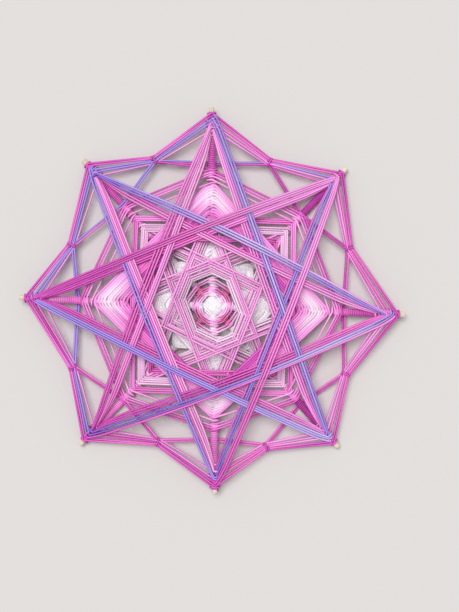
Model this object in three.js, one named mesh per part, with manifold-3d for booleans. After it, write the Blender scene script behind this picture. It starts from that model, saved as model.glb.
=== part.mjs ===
// An eight-armed yarn mandala, the woven "eye of god": two crosses of round sticks, one
// on the other, carry nested windings of yarn. It lies on its back with its face up.
// Every winding is one unbroken strand, two yarns wide and one yarn thick. It is laid in
// the order of weaving, and each stretch is pulled taut over whatever already lies below.

import * as THREE from "three";
import { mergeVertices } from "three/addons/utils/BufferGeometryUtils.js";
import Module from "manifold-3d";

const wasm = await Module();
wasm.setup();

// Sizes are in millimetres, turns in degrees anticlockwise from east.

// Sticks
const STICK_LENGTH = 221;
const STICK_DIAMETER = 3.2;
const STICK_BEVEL = 0.4;
const STICK_SIDES = 12;
const LAP_GAP = 0.3;
const CROSS_GAP = 0.3;

// A stick's slide is how far its middle lies past the crossing.
const NORTH_SOUTH = { turn: 90, slide: 3.5 };
const EAST_WEST = { turn: -3, slide: -0.7 };
const NORTHEAST_SOUTHWEST = { turn: 45.5, slide: -0.2 };
const NORTHWEST_SOUTHEAST = { turn: 131.1, slide: 2.1 };

// Yarn
const YARN_THICKNESS = 0.9;
const STRAND_WIDTH = 1.8;
const SEAT_GAP = 0.55;
const TURN_GAP = 0.55;

// Windings near the centre, by the distance of their first catch from the crossing
const EYE_START = 1.3;
const EYE_TURNS = 2;
const EYE_STEPS = 10;
const EYE_SPREAD = 0.2;
const ROSE_TURNS = 2;
const ROSE_SPREAD = 0.6;
const WEB_START = 18.5;
const WEB_TURNS = 2;
const WEB_SPREAD = 0.7;
const WHITE_START = 25.5;
const WHITE_TURNS = 3;
const SMALL_STAR_START = 39.5;
const SMALL_STAR_TURNS = 2;
const BACK_INNER_START = 46.5;
const BACK_MIDDLE_START = 54.5;
const BACK_OUTER_START = 61.5;
const BACK_TURNS = 2;
const KITE_START = 48.5;
const KITE_TURNS = 5;
const THIN_START = 66;
const THIN_TURNS = 1;
const BAND_START = 70.5;
const BAND_TURNS = 2;

// Arm wraps and tie winding
const WRAP_TURNS = 5;
const WRAP_STEPS = 6;
const WRAP_SPREAD = 0.1;
const TIE_RADIUS = 86.5;
const TIE_SIDES = 4;
const HOOK_EASE = 0.35;

// Outer windings, by the distance of their last catch from the stick's end
const STAR_INSET = 5.6;
const STAR_TURNS_OUTER = 2;
const STAR_TURNS_INNER = 2;
const RIM_INSET = 4.1;
const RIM_TURNS = 3;
const RIM_SPREAD = 1.6;

// Steps of the taut-strand search
const SAMPLE_STEP = 0.5;
const CORNER_CLEAR = 1.4;
const SIDE_MARGIN = 0.42;
const CATCH_REACH = 5;
const MERGE_RUN = 20;
const MERGE_LIFT = 0.5;

const STICK_RADIUS = STICK_DIAMETER / 2;
const HALF_WIDTH = STRAND_WIDTH / 2;
const HALF_YARN = YARN_THICKNESS / 2;
const TURN_PITCH = STRAND_WIDTH + TURN_GAP;
const CATCH_HALF = TURN_PITCH / 2;
const WRAP_INNER = STICK_RADIUS + SEAT_GAP;
const WRAP_OUTER = WRAP_INNER + YARN_THICKNESS;
const BACK_HEIGHT = WRAP_OUTER;
const FRONT_HEIGHT = BACK_HEIGHT + STICK_DIAMETER + CROSS_GAP;

const COLOURS = {
  wood: 0xd9c4ac,
  white: 0xe9e4ea,
  rose: 0xb9508c,
  pale: 0xe7bedd,
  pink: 0xe28fca,
  magenta: 0xc95cae,
  violet: 0x9a7cc4,
};

// The eight arms, clockwise from north. A forward arm points the way its stick's turn does.
const arm = (stick, forward, height) => ({ stick, forward, height });
const ARMS = [
  arm(NORTH_SOUTH, 1, FRONT_HEIGHT),
  arm(NORTHEAST_SOUTHWEST, 1, BACK_HEIGHT),
  arm(EAST_WEST, 1, FRONT_HEIGHT),
  arm(NORTHWEST_SOUTHEAST, -1, BACK_HEIGHT),
  arm(NORTH_SOUTH, -1, FRONT_HEIGHT),
  arm(NORTHEAST_SOUTHWEST, -1, BACK_HEIGHT),
  arm(EAST_WEST, -1, FRONT_HEIGHT),
  arm(NORTHWEST_SOUTHEAST, 1, BACK_HEIGHT),
];
const ARM_NAMES = ["north", "northeast", "east", "southeast", "south", "southwest", "west", "northwest"];
for (const each of ARMS) {
  const turn = THREE.MathUtils.degToRad(each.stick.turn);
  each.along = new THREE.Vector2(Math.cos(turn), Math.sin(turn)).multiplyScalar(each.forward);
  each.across = new THREE.Vector2(each.along.y, -each.along.x);
  each.reach = STICK_LENGTH / 2 + each.forward * each.stick.slide;
}
const armOf = (index) => ARMS[((index % ARMS.length) + ARMS.length) % ARMS.length];

// A plan point on an arm: so far out from the crossing, so far across to its clockwise side
function onArm(index, out, aside = 0) {
  const { along, across } = armOf(index);
  return along.clone().multiplyScalar(out).addScaledVector(across, aside);
}

const model = new THREE.Group();

function add(name, geometry, colour, roughness) {
  const material = new THREE.MeshStandardMaterial({ color: colour, roughness, metalness: 0 });
  const mesh = new THREE.Mesh(geometry, material);
  mesh.name = name;
  model.add(mesh);
}

// Closed solids for cutting, and back again
function solid(geometry) {
  const bare = geometry.clone();
  bare.deleteAttribute("normal");
  bare.deleteAttribute("uv");
  const merged = mergeVertices(bare, 1e-4);
  const index = merged.index.array;
  const faces = [];
  for (let i = 0; i < index.length; i += 3) {
    const [a, b, c] = [index[i], index[i + 1], index[i + 2]];
    if (a !== b && b !== c && c !== a) faces.push(a, b, c);
  }
  const vertProperties = new Float32Array(merged.attributes.position.array);
  const triVerts = new Uint32Array(faces);
  return new wasm.Manifold(new wasm.Mesh({ numProp: 3, vertProperties, triVerts }));
}

function surface(cutSolid) {
  const mesh = cutSolid.getMesh();
  const geometry = new THREE.BufferGeometry();
  geometry.setAttribute("position", new THREE.BufferAttribute(new Float32Array(mesh.vertProperties), 3));
  geometry.setIndex(Array.from(mesh.triVerts));
  geometry.computeVertexNormals();
  return geometry;
}

// A dowel with bevelled ends, a flat facet up and a flat facet down
function dowel(stick, height) {
  const end = STICK_LENGTH / 2;
  const rim = STICK_RADIUS - STICK_BEVEL;
  const outline = [
    new THREE.Vector2(0, -end),
    new THREE.Vector2(rim, -end),
    new THREE.Vector2(STICK_RADIUS, STICK_BEVEL - end),
    new THREE.Vector2(STICK_RADIUS, end - STICK_BEVEL),
    new THREE.Vector2(rim, end),
    new THREE.Vector2(0, end),
  ];
  const geometry = new THREE.LatheGeometry(outline, STICK_SIDES, Math.PI / STICK_SIDES);
  geometry.translate(0, stick.slide, 0);
  geometry.rotateZ(THREE.MathUtils.degToRad(stick.turn - 90));
  geometry.translate(0, 0, height);
  return geometry;
}

// The half of a lap that is cut away for the other stick: above or below the middle
function lapCut(other, height, above) {
  const depth = STICK_DIAMETER;
  const cut = new THREE.BoxGeometry(4 * STICK_DIAMETER, STICK_DIAMETER + 2 * LAP_GAP, depth);
  cut.rotateZ(THREE.MathUtils.degToRad(other.turn));
  cut.translate(0, 0, height + above * (depth / 2 - LAP_GAP / 2));
  return cut;
}

function addCross(lower, lowerName, upper, upperName, height) {
  const lowerSolid = solid(dowel(lower, height)).subtract(solid(lapCut(upper, height, 1)));
  const upperSolid = solid(dowel(upper, height)).subtract(solid(lapCut(lower, height, -1)));
  add(lowerName, surface(lowerSolid), COLOURS.wood, 0.7);
  add(upperName, surface(upperSolid), COLOURS.wood, 0.7);
}

addCross(NORTHEAST_SOUTHWEST, "northeast_southwest_stick",
  NORTHWEST_SOUTHEAST, "northwest_southeast_stick", BACK_HEIGHT);
addCross(EAST_WEST, "east_west_stick", NORTH_SOUTH, "north_south_stick", FRONT_HEIGHT);

// Straight pieces of everything laid so far, which later strands have to clear
const laid = [];

function lay(from, to, reach, rise, owner, order) {
  const run = Math.hypot(to.x - from.x, to.y - from.y);
  const slope = run > 0 ? Math.abs(to.z - from.z) / run : 0;
  laid.push({ from, to, run, reach, rise: rise + slope * STRAND_WIDTH, owner, order });
}

for (const each of ARMS) {
  const tip = each.along.clone().multiplyScalar(each.reach);
  const from = new THREE.Vector3(0, 0, each.height);
  lay(from, new THREE.Vector3(tip.x, tip.y, each.height), STICK_RADIUS, STICK_RADIUS, "stick", 0);
}

// The least height at which a strand's middle clears what lies under a plan point.
// Neighbouring stretches of the same winding meet at a catch, so they don't count.
function clearHeight(x, y, owner, order) {
  let height = -Infinity;
  for (const piece of laid) {
    if (piece.owner === owner && Math.abs(piece.order - order) <= 1) continue;
    const { from, to, run } = piece;
    const near = piece.reach + HALF_WIDTH + SIDE_MARGIN;
    const dx = to.x - from.x;
    const dy = to.y - from.y;
    const share = run > 0 ? ((x - from.x) * dx + (y - from.y) * dy) / (run * run) : 0;
    const t = Math.min(1, Math.max(0, share));
    if (Math.hypot(from.x + t * dx - x, from.y + t * dy - y) > near) continue;
    const top = from.z + t * (to.z - from.z) + piece.rise;
    height = Math.max(height, top + SEAT_GAP + HALF_YARN);
  }
  return height;
}

// Upper hull of points [distance, height]: the line that a taut strand takes
function upperHull(points) {
  const hull = [];
  for (const point of points) {
    while (hull.length > 1) {
      const [a, b] = hull.slice(-2);
      const over = (b[0] - a[0]) * (point[1] - a[1]) - (b[1] - a[1]) * (point[0] - a[0]);
      if (over < 0) break;
      hull.pop();
    }
    hull.push(point);
  }
  return hull;
}

// Puts one peak in place of two near ones, where their outer lines meet just above them
function mergePeaks(hull) {
  const points = hull.slice();
  for (let i = 1; i + 2 < points.length; i++) {
    const [a, b, c, d] = points.slice(i - 1, i + 3);
    if (c[0] - b[0] > MERGE_RUN) continue;
    const rise = (b[1] - a[1]) / (b[0] - a[0]);
    const fall = (d[1] - c[1]) / (d[0] - c[0]);
    const s = (c[1] - b[1] + rise * b[0] - fall * c[0]) / (rise - fall);
    const z = b[1] + rise * (s - b[0]);
    if (!(s > b[0] && s < c[0]) || z - Math.max(b[1], c[1]) > MERGE_LIFT) continue;
    points.splice(i, 2, [s, z]);
    i = Math.max(0, i - 2);
  }
  return points;
}

function tautSpan(from, to, owner, order) {
  const run = Math.hypot(to.x - from.x, to.y - from.y);
  const points = [[0, from.z]];
  const count = Math.floor((run - 2 * CORNER_CLEAR) / SAMPLE_STEP);
  for (let i = 0; i <= count; i++) {
    const s = CORNER_CLEAR + ((run - 2 * CORNER_CLEAR) * i) / Math.max(count, 1);
    const t = s / run;
    const height = clearHeight(from.x + t * (to.x - from.x), from.y + t * (to.y - from.y), owner, order);
    if (height > -Infinity) points.push([s, height]);
  }
  points.push([run, to.z]);
  return mergePeaks(upperHull(points)).map(([s, z]) => {
    const t = s / run;
    return new THREE.Vector3(from.x + t * (to.x - from.x), from.y + t * (to.y - from.y), z);
  });
}

// Closed tube through rings of corners
function skin(rings) {
  const corners = rings[0].length;
  const positions = rings.flat().flatMap((p) => [p.x, p.y, p.z]);
  let faces = [];
  for (let i = 0; i + 1 < rings.length; i++) {
    for (let j = 0; j < corners; j++) {
      const k = (j + 1) % corners;
      const [a, b] = [i * corners + j, i * corners + k];
      faces.push([a, b, b + corners], [a, b + corners, a + corners]);
    }
  }
  const last = (rings.length - 1) * corners;
  for (let j = 1; j + 1 < corners; j++) faces.push([0, j + 1, j], [last, last + j, last + j + 1]);
  const flat = rings.flat();
  const volume = faces.reduce((sum, [a, b, c]) => sum + flat[a].dot(flat[b].clone().cross(flat[c])), 0);
  if (volume < 0) faces = faces.map(([a, b, c]) => [a, c, b]);
  const geometry = new THREE.BufferGeometry();
  geometry.setAttribute("position", new THREE.Float32BufferAttribute(positions, 3));
  geometry.setIndex(faces.flat());
  geometry.computeVertexNormals();
  return geometry;
}

// Rings of a strand that lies flat: upright sides, mitred where it turns in plan
function flatRings(path) {
  const heading = path.slice(1).map((p, i) => new THREE.Vector2(p.x - path[i].x, p.y - path[i].y).normalize());
  return path.map((p, i) => {
    const before = heading[Math.max(i - 1, 0)];
    const after = heading[Math.min(i, heading.length - 1)];
    const side = new THREE.Vector2(-before.y - after.y, before.x + after.x).normalize();
    const reach = HALF_WIDTH / (-side.x * before.y + side.y * before.x);
    const corner = (a, b) => new THREE.Vector3(p.x + a * reach * side.x, p.y + a * reach * side.y, p.z + b * HALF_YARN);
    return [corner(1, 1), corner(-1, 1), corner(-1, -1), corner(1, -1)];
  });
}

// Points at even steps along a path, with the distance run
function evenPoints(path, step) {
  const points = [];
  let distance = 0;
  for (let i = 0; i + 1 < path.length; i++) {
    const run = path[i].distanceTo(path[i + 1]);
    const count = Math.max(1, Math.round(run / step));
    for (let j = 0; j < count; j++) {
      const point = path[i].clone().lerp(path[i + 1], j / count);
      points.push({ point, distance: distance + (run * j) / count });
    }
    distance += run;
  }
  return points;
}

// Least gap of a strand to itself, over points that are well apart along it
function printLeastGap(name, path, apart, gapOf) {
  const points = evenPoints(path, SAMPLE_STEP);
  let least = Infinity;
  for (let i = 0; i < points.length; i++) {
    for (let j = i + 1; j < points.length; j++) {
      if (points[j].distance - points[i].distance < apart) continue;
      least = Math.min(least, gapOf(points[i].point, points[j].point));
    }
  }
  console.log(`${name}: least gap to itself ${least.toFixed(2)} mm`);
}
const flatGap = (a, b) =>
  Math.max(Math.hypot(a.x - b.x, a.y - b.y) - STRAND_WIDTH, Math.abs(a.z - b.z) - YARN_THICKNESS);
const roundGap = (a, b) => a.distanceTo(b) - YARN_THICKNESS;

function addStrand(name, path, colour, apart = 3 * TURN_PITCH) {
  printLeastGap(name, path, apart, flatGap);
  add(name, skin(flatRings(path)), colour, 0.6);
}

// A stop is a place where a winding turns: over the crown of an arm, or at a tie
const armStop = (index, out) => ({
  enter: onArm(index, out, -CATCH_HALF),
  leave: onArm(index, out, CATCH_HALF),
  floor: -Infinity,
});

// The height of a winding at each of its stops, found when it is first asked for
function stopHeights({ name, stops }) {
  const heights = [];
  return (i) => {
    if (heights[i] !== undefined) return heights[i];
    const { enter, leave, floor } = stops[i];
    let height = floor;
    const probe = (from, to) => {
      const run = from.distanceTo(to);
      const reach = Math.min(CATCH_REACH, run / 4);
      for (let s = 0; s <= reach; s += SAMPLE_STEP) {
        const p = from.clone().lerp(to, run > 0 ? s / run : 0);
        height = Math.max(height, clearHeight(p.x, p.y, name, i));
      }
    };
    probe(enter, i > 0 ? stops[i - 1].leave : enter);
    probe(leave, i + 1 < stops.length ? stops[i + 1].enter : leave);
    heights[i] = height;
    return height;
  };
}

// Lays windings that were woven together, stretch by stretch. Stretches of a later layer
// lie over those of an earlier one.
function addWindings(windings, layerOf = (order) => order) {
  const at = (plan, z) => new THREE.Vector3(plan.x, plan.y, z);
  const stretches = [];
  for (const winding of windings) {
    winding.heightAt = stopHeights(winding);
    winding.spans = [];
    winding.stops.slice(1).forEach((_, i) => stretches.push({ winding, i, layer: layerOf(i + winding.before) }));
  }
  stretches.sort((a, b) => a.layer - b.layer);
  for (const { winding, i } of stretches) {
    const { name, stops, heightAt, spans } = winding;
    const span = tautSpan(at(stops[i].leave, heightAt(i)), at(stops[i + 1].enter, heightAt(i + 1)), name, i);
    for (let j = 0; j + 1 < span.length; j++) lay(span[j], span[j + 1], HALF_WIDTH, HALF_YARN, name, i);
    spans[i] = span;
  }
  for (const { name, stops, heightAt, spans, colour } of windings) {
    const path = [];
    stops.forEach(({ enter, leave }, i) => {
      const [from, to] = [at(enter, heightAt(i)), at(leave, heightAt(i))];
      lay(from, to, HALF_WIDTH, HALF_YARN, name, i);
      for (const p of [from, to, ...(spans[i] ?? [])]) {
        if (!path.length || path[path.length - 1].distanceTo(p) > 1e-3) path.push(p);
      }
    });
    addStrand(name, path, colour);
  }
}
const addWinding = (name, stops, colour, layerOf) => addWindings([{ name, stops, colour, before: 0 }], layerOf);

// How far apart the catches of neighbouring turns are, so that their strands clear each other
function catchPitch(step) {
  let least = 1;
  for (let i = 0; i < ARMS.length; i++) {
    const turn = armOf(i).along.angleTo(armOf(i + step).along);
    const angle = Math.min(turn, 2 * Math.PI - turn);
    least = Math.min(least, Math.cos(angle / 2));
  }
  return (1.02 * TURN_PITCH) / least;
}

// Spiral of catches that grows by one pitch a turn. It takes every arm in steps round the part.
function spiralStops(first, step, turns, pitch, radiusOf) {
  const catches = step === 2 ? ARMS.length / 2 : ARMS.length;
  const stops = [];
  for (let i = 0; i <= turns * catches; i++) {
    const index = first + i * step;
    stops.push(armStop(index, radiusOf(index, (pitch * i) / catches)));
  }
  return stops;
}
const fromCentre = (start) => (index, grown) => start + grown;

// The eye: a flat spiral over the crossing of the sticks
const eyeHeight = FRONT_HEIGHT + STICK_RADIUS + SEAT_GAP + HALF_YARN;
const eyePitch = TURN_PITCH + EYE_SPREAD;
const eyePath = [];
for (let i = 0; i <= EYE_TURNS * EYE_STEPS; i++) {
  const turn = (2 * Math.PI * i) / EYE_STEPS;
  const out = EYE_START + (eyePitch * i) / EYE_STEPS;
  eyePath.push(new THREE.Vector3(out * Math.sin(turn), out * Math.cos(turn), eyeHeight));
}
for (let i = 0; i + 1 < eyePath.length; i++) {
  lay(eyePath[i], eyePath[i + 1], HALF_WIDTH, HALF_YARN, "centre_eye", 0);
}
addStrand("centre_eye", eyePath, COLOURS.white, 2 * Math.PI * EYE_START);

// Rings and squares of the centre
const ringPitch = catchPitch(1);
const squarePitch = catchPitch(2);
const starPitch = catchPitch(3);
const roseStart = EYE_START + EYE_TURNS * eyePitch + TURN_PITCH;
const rosePitch = ringPitch + ROSE_SPREAD;
addWinding("rose_ring", spiralStops(0, 1, ROSE_TURNS, rosePitch, fromCentre(roseStart)), COLOURS.rose);
const webPitch = ringPitch + WEB_SPREAD;
addWinding("centre_web", spiralStops(0, 1, WEB_TURNS, webPitch, fromCentre(WEB_START)), COLOURS.pale);
const white = fromCentre(WHITE_START);
addWinding("white_diagonal_square", spiralStops(1, 2, WHITE_TURNS, squarePitch, white), COLOURS.white);
addWinding("white_upright_square", spiralStops(0, 2, WHITE_TURNS, squarePitch, white), COLOURS.white);

// A star crosses itself. Stretches that start four arms apart are parallel and share a layer.
const starLayer = (order) => (3 * order) % 4;
const smallStar = spiralStops(0, 3, SMALL_STAR_TURNS, starPitch, fromCentre(SMALL_STAR_START));
addWinding("small_star", smallStar, COLOURS.pink, starLayer);

// Squares outside the small star
const square = (first, turns, start) => spiralStops(first, 2, turns, squarePitch, fromCentre(start));
addWinding("diagonal_square_inner", square(1, BACK_TURNS, BACK_INNER_START), COLOURS.magenta);
addWinding("diagonal_square_middle", square(1, BACK_TURNS, BACK_MIDDLE_START), COLOURS.pale);
addWinding("diagonal_square_outer", square(1, BACK_TURNS, BACK_OUTER_START), COLOURS.pink);
addWinding("upright_square", square(0, KITE_TURNS, KITE_START), COLOURS.pink);
addWinding("thin_ring", spiralStops(0, 1, THIN_TURNS, ringPitch, fromCentre(THIN_START)), COLOURS.pale);
addWinding("ring_band", spiralStops(0, 1, BAND_TURNS, ringPitch, fromCentre(BAND_START)), COLOURS.magenta);

// Arm wraps: close turns round each stick, with flat facets above and below
const bandEnd = BAND_START + BAND_TURNS * ringPitch + HALF_WIDTH;
const tieCatch = bandEnd + TURN_GAP + HALF_YARN;
const wrapStart = tieCatch + HALF_YARN + TURN_GAP + HALF_WIDTH;
const wrapPitch = TURN_PITCH + WRAP_SPREAD;
const wrapSide = Math.cos(Math.PI / WRAP_STEPS);
ARMS.forEach((each, index) => {
  const out3 = new THREE.Vector3(each.along.x, each.along.y, 0);
  const side3 = new THREE.Vector3(each.across.x, each.across.y, 0);
  const rings = [];
  const path = [];
  for (let i = 0; i <= WRAP_TURNS * WRAP_STEPS; i++) {
    const turn = (2 * Math.PI * i) / WRAP_STEPS;
    const out = wrapStart + (wrapPitch * i) / WRAP_STEPS;
    const radial = side3.clone().multiplyScalar(Math.cos(turn)).add(new THREE.Vector3(0, 0, Math.sin(turn)));
    const at = (radius, along) => out3.clone().multiplyScalar(along)
      .addScaledVector(radial, radius / wrapSide).add(new THREE.Vector3(0, 0, each.height));
    rings.push([
      at(WRAP_OUTER, out - HALF_WIDTH),
      at(WRAP_OUTER, out + HALF_WIDTH),
      at(WRAP_INNER, out + HALF_WIDTH),
      at(WRAP_INNER, out - HALF_WIDTH),
    ]);
    path.push(at(STICK_RADIUS + SEAT_GAP + HALF_YARN, out));
  }
  const name = `${ARM_NAMES[index]}_arm_wrap`;
  const wrapGap = (a, b) => {
    const between = a.clone().sub(b);
    const along = between.dot(out3);
    const round = between.addScaledVector(out3, -along).length();
    return Math.max(Math.abs(along) - STRAND_WIDTH, round - YARN_THICKNESS);
  };
  printLeastGap(name, path, 2 * Math.PI * STICK_RADIUS, wrapGap);
  add(name, skin(rings), COLOURS.magenta, 0.6);
  const from = onArm(index, wrapStart - HALF_WIDTH);
  const to = onArm(index, wrapStart + WRAP_TURNS * wrapPitch + HALF_WIDTH);
  lay(new THREE.Vector3(from.x, from.y, each.height), new THREE.Vector3(to.x, to.y, each.height),
    WRAP_OUTER / wrapSide, WRAP_OUTER, name, 0);
});

// Ties: halfway between two arms, level with the middle of the sticks
const ties = ARMS.map((each, index) => {
  const next = armOf(index + 1);
  const out = each.along.clone().add(next.along).normalize();
  const along = new THREE.Vector2(out.y, -out.x);
  return { out, along, point: out.clone().multiplyScalar(TIE_RADIUS), height: (each.height + next.height) / 2 };
});

// Rim: from arm to arm, drawn in at the ties
const rimPitch = ringPitch + RIM_SPREAD;
const rimStops = [];
for (let i = 0; i <= RIM_TURNS * ARMS.length; i++) {
  const index = i % ARMS.length;
  const left = rimPitch * (RIM_TURNS - i / ARMS.length);
  rimStops.push(armStop(index, ARMS[index].reach - RIM_INSET - left));
  const { point, height } = ties[index];
  if (i < RIM_TURNS * ARMS.length) rimStops.push({ enter: point, leave: point, floor: height });
}
addWinding("rim_winding", rimStops, COLOURS.magenta);

// The lowest and highest faces of the rim near a tie
function rimFaces(point, reach) {
  let low = Infinity;
  let high = -Infinity;
  for (const piece of laid.filter((each) => each.owner === "rim_winding")) {
    for (const { point: p } of evenPoints([piece.from, piece.to, piece.to], SAMPLE_STEP / 4)) {
      if (Math.hypot(p.x - point.x, p.y - point.y) > reach) continue;
      low = Math.min(low, p.z - HALF_YARN);
      high = Math.max(high, p.z + HALF_YARN);
    }
  }
  return { low, high };
}

// Tie winding: under the upright arms, over the diagonal arms, and hooked round the rim at each tie
const tieClear = SEAT_GAP + HALF_YARN / Math.cos(Math.PI / TIE_SIDES);
const tiePath = [];
const passArm = (index, side) => {
  const each = armOf(index);
  const away = STICK_RADIUS + tieClear;
  const p = onArm(index, tieCatch, side * away);
  tiePath.push(new THREE.Vector3(p.x, p.y, each.height + (each.height === FRONT_HEIGHT ? -away : away)));
};
const hookOut = HALF_WIDTH + tieClear + HOOK_EASE;
const hookAside = (YARN_THICKNESS + TURN_GAP) / 2;
ties.forEach(({ out, along, point }, index) => {
  const { low, high } = rimFaces(point, hookOut + hookAside);
  const hook = (o, a, z) => {
    const p = point.clone().addScaledVector(out, o * hookOut).addScaledVector(along, a * hookAside);
    tiePath.push(new THREE.Vector3(p.x, p.y, z));
  };
  passArm(index, -1);
  passArm(index, 1);
  hook(-1, -1, low - tieClear);
  hook(1, -1, low - tieClear);
  hook(1, 1, high + tieClear);
  hook(-1, 1, high + tieClear);
});

// Rings of a round strand, each carried on from the one before and mitred at the corner
function roundRings(path, sides) {
  const ways = path.slice(1).map((p, i) => p.clone().sub(path[i]).normalize());
  const aside = new THREE.Vector3(0, 0, 1).cross(ways[0]).normalize();
  const above = ways[0].clone().cross(aside);
  let offsets = [];
  for (let j = 0; j < sides; j++) {
    const turn = (2 * Math.PI * j) / sides;
    const radius = HALF_YARN / Math.cos(Math.PI / sides);
    offsets.push(aside.clone().multiplyScalar(radius * Math.cos(turn)).addScaledVector(above, radius * Math.sin(turn)));
  }
  return path.map((p, i) => {
    const before = ways[Math.max(i - 1, 0)];
    const after = ways[Math.min(i, ways.length - 1)];
    const mitre = before.clone().add(after).normalize();
    const slid = offsets.map((o) => o.clone().addScaledVector(before, -o.dot(mitre) / before.dot(mitre)));
    offsets = slid.map((o) => o.clone().addScaledVector(after, -o.dot(after)));
    return slid.map((o) => p.clone().add(o));
  });
}
printLeastGap("tie_winding", tiePath, 3 * hookOut, roundGap);
add("tie_winding", skin(roundRings(tiePath, TIE_SIDES)), COLOURS.magenta, 0.6);
for (let i = 0; i + 1 < tiePath.length; i++) {
  lay(tiePath[i], tiePath[i + 1], HALF_YARN, HALF_YARN, "tie_winding", i);
}

// Main star: two windings, the outer one carrying on where the inner one stops
const fromTip = (turns, inset) => (index, grown) => armOf(index).reach - inset - turns * starPitch + grown;
const starInner = spiralStops(0, 3, STAR_TURNS_INNER, starPitch,
  fromTip(STAR_TURNS_INNER, STAR_INSET + (STAR_TURNS_OUTER + 1 / ARMS.length) * starPitch));
const starOuter = spiralStops(3, 3, STAR_TURNS_OUTER, starPitch, fromTip(STAR_TURNS_OUTER, STAR_INSET));
addWindings([
  { name: "star_inner", stops: starInner, colour: COLOURS.pink, before: 0 },
  { name: "star_outer", stops: starOuter, colour: COLOURS.violet, before: 1 },
], starLayer);

// Stand it on its lowest turns, with the middle of its outline at the origin
const box = new THREE.Box3().setFromObject(model);
const middle = box.getCenter(new THREE.Vector3());
model.position.set(-middle.x, -middle.y, -box.min.z);

export default model;
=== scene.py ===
# %% [markdown]
# # A yarn mandala on eight arms
# The real object is four thin dowels that cross at one point, with fine plied yarn wound from arm to
# arm in rings, squares and stars. Every visible line is one yarn about a millimetre thick, so the scene
# is made the way the object is: yarn by yarn, each one laid over those that were wound before it.
# A picture of the pattern on a flat disc would be quicker, but it would have no edge, back or shadow.

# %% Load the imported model
import math

import bpy
import numpy as np
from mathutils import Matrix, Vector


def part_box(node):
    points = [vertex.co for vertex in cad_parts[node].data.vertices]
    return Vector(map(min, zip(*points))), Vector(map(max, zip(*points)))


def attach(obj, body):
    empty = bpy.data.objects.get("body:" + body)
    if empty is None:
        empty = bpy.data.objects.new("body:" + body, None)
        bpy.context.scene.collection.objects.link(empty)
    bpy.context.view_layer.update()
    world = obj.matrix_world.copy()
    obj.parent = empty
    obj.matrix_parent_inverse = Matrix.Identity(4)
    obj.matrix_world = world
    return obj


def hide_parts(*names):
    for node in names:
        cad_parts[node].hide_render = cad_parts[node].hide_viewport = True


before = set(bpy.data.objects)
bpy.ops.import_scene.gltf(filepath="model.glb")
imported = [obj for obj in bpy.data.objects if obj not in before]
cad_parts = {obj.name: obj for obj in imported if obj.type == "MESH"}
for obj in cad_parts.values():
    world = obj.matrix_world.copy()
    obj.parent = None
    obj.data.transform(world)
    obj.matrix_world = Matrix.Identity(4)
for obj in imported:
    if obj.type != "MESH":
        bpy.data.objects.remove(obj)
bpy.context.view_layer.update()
MM = 0.001
print("solids in the frame:", len(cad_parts))

# %% [markdown]
# The photograph looks straight at the face. The part lies face up, so the camera hangs above it with the
# picture's top towards the north arm. A camera two thirds of a metre away keeps the slight spread that
# high strands show; an orthographic one would lose it. The lens follows from the size of a picture point.

# %% Camera
PICTURE_HEIGHT = 612
POINT_SIZE = 0.5722
CAMERA_DISTANCE = 660.0
FACE_HEIGHT = 6.55
SENSOR_HEIGHT = 24.0
CAMERA_SHIFT = (10.0, -3.4)
CAMERA_ROLL = -0.5


def add_object(name, data):
    """A new object with its data, linked into the scene."""
    item = bpy.data.objects.new(name, data)
    bpy.context.scene.collection.objects.link(item)
    return item


camera_data = bpy.data.cameras.new("straight_above")
camera_data.sensor_fit = "VERTICAL"
camera_data.sensor_height = SENSOR_HEIGHT
camera_data.lens = SENSOR_HEIGHT * CAMERA_DISTANCE / (PICTURE_HEIGHT * POINT_SIZE)
camera = add_object("straight_above", camera_data)
camera.location = (CAMERA_SHIFT[0] * MM, CAMERA_SHIFT[1] * MM, (FACE_HEIGHT + CAMERA_DISTANCE) * MM)
camera.rotation_euler = (0.0, 0.0, math.radians(CAMERA_ROLL))
bpy.context.scene.camera = camera
print("lens in mm:", round(camera_data.lens, 1))

# %% [markdown]
# Everything is measured along the eight arms. An arm knows where it starts, the way it points, the way
# the yarn travels past it (clockwise), how far it reaches and how high its axis lies. The upright cross
# lies in front of the diagonal one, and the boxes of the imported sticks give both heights.

# %% Arms
STICK_RADIUS = 1.6
HALF_STICK = 110.5
STICKS = {
    "north_south_stick": (90.0, 3.5, "north", "south"),
    "east_west_stick": (-3.0, -0.7, "east", "west"),
    "northeast_southwest_stick": (45.5, -0.2, "northeast", "southwest"),
    "northwest_southeast_stick": (131.1, 2.1, "northwest", "southeast"),
}
CLOCKWISE = ["north", "northeast", "east", "southeast", "south", "southwest", "west", "northwest"]
UPRIGHT = ["north", "east", "south", "west"]
DIAGONAL = ["northeast", "southeast", "southwest", "northwest"]


def new_arm(start, along, reach, height):
    """An arm in millimetres. Its side is the arm turned a quarter clockwise, the way the yarn travels."""
    side = np.array([along[1], -along[0]])
    return {"start": start, "along": along, "side": side, "reach": reach, "height": height}


def heading(angle):
    """Plan direction at an angle in degrees: its cosine and its sine."""
    return np.array([math.cos(math.radians(angle)), math.sin(math.radians(angle))])


arms = {}
for stick, (turn, slide, first, second) in STICKS.items():
    low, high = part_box(stick)
    middle = (np.array(low) + np.array(high)) / 2 / MM
    along = heading(turn)
    start = middle[:2] - slide * along
    arms[first] = new_arm(start, along, HALF_STICK + slide, middle[2])
    arms[second] = new_arm(start, -along, HALF_STICK - slide, middle[2])
print({name: round(arm["reach"], 1) for name, arm in arms.items()})

# %% [markdown]
# Wound yarn lies on whatever is already there. The pile is a map of heights over the plan, a quarter of a
# millimetre to a cell. It starts with the dowels, and each yarn reads it, lies on it and raises it. A
# physics run of hundreds of strings would do the same more slowly and less evenly.

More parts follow.
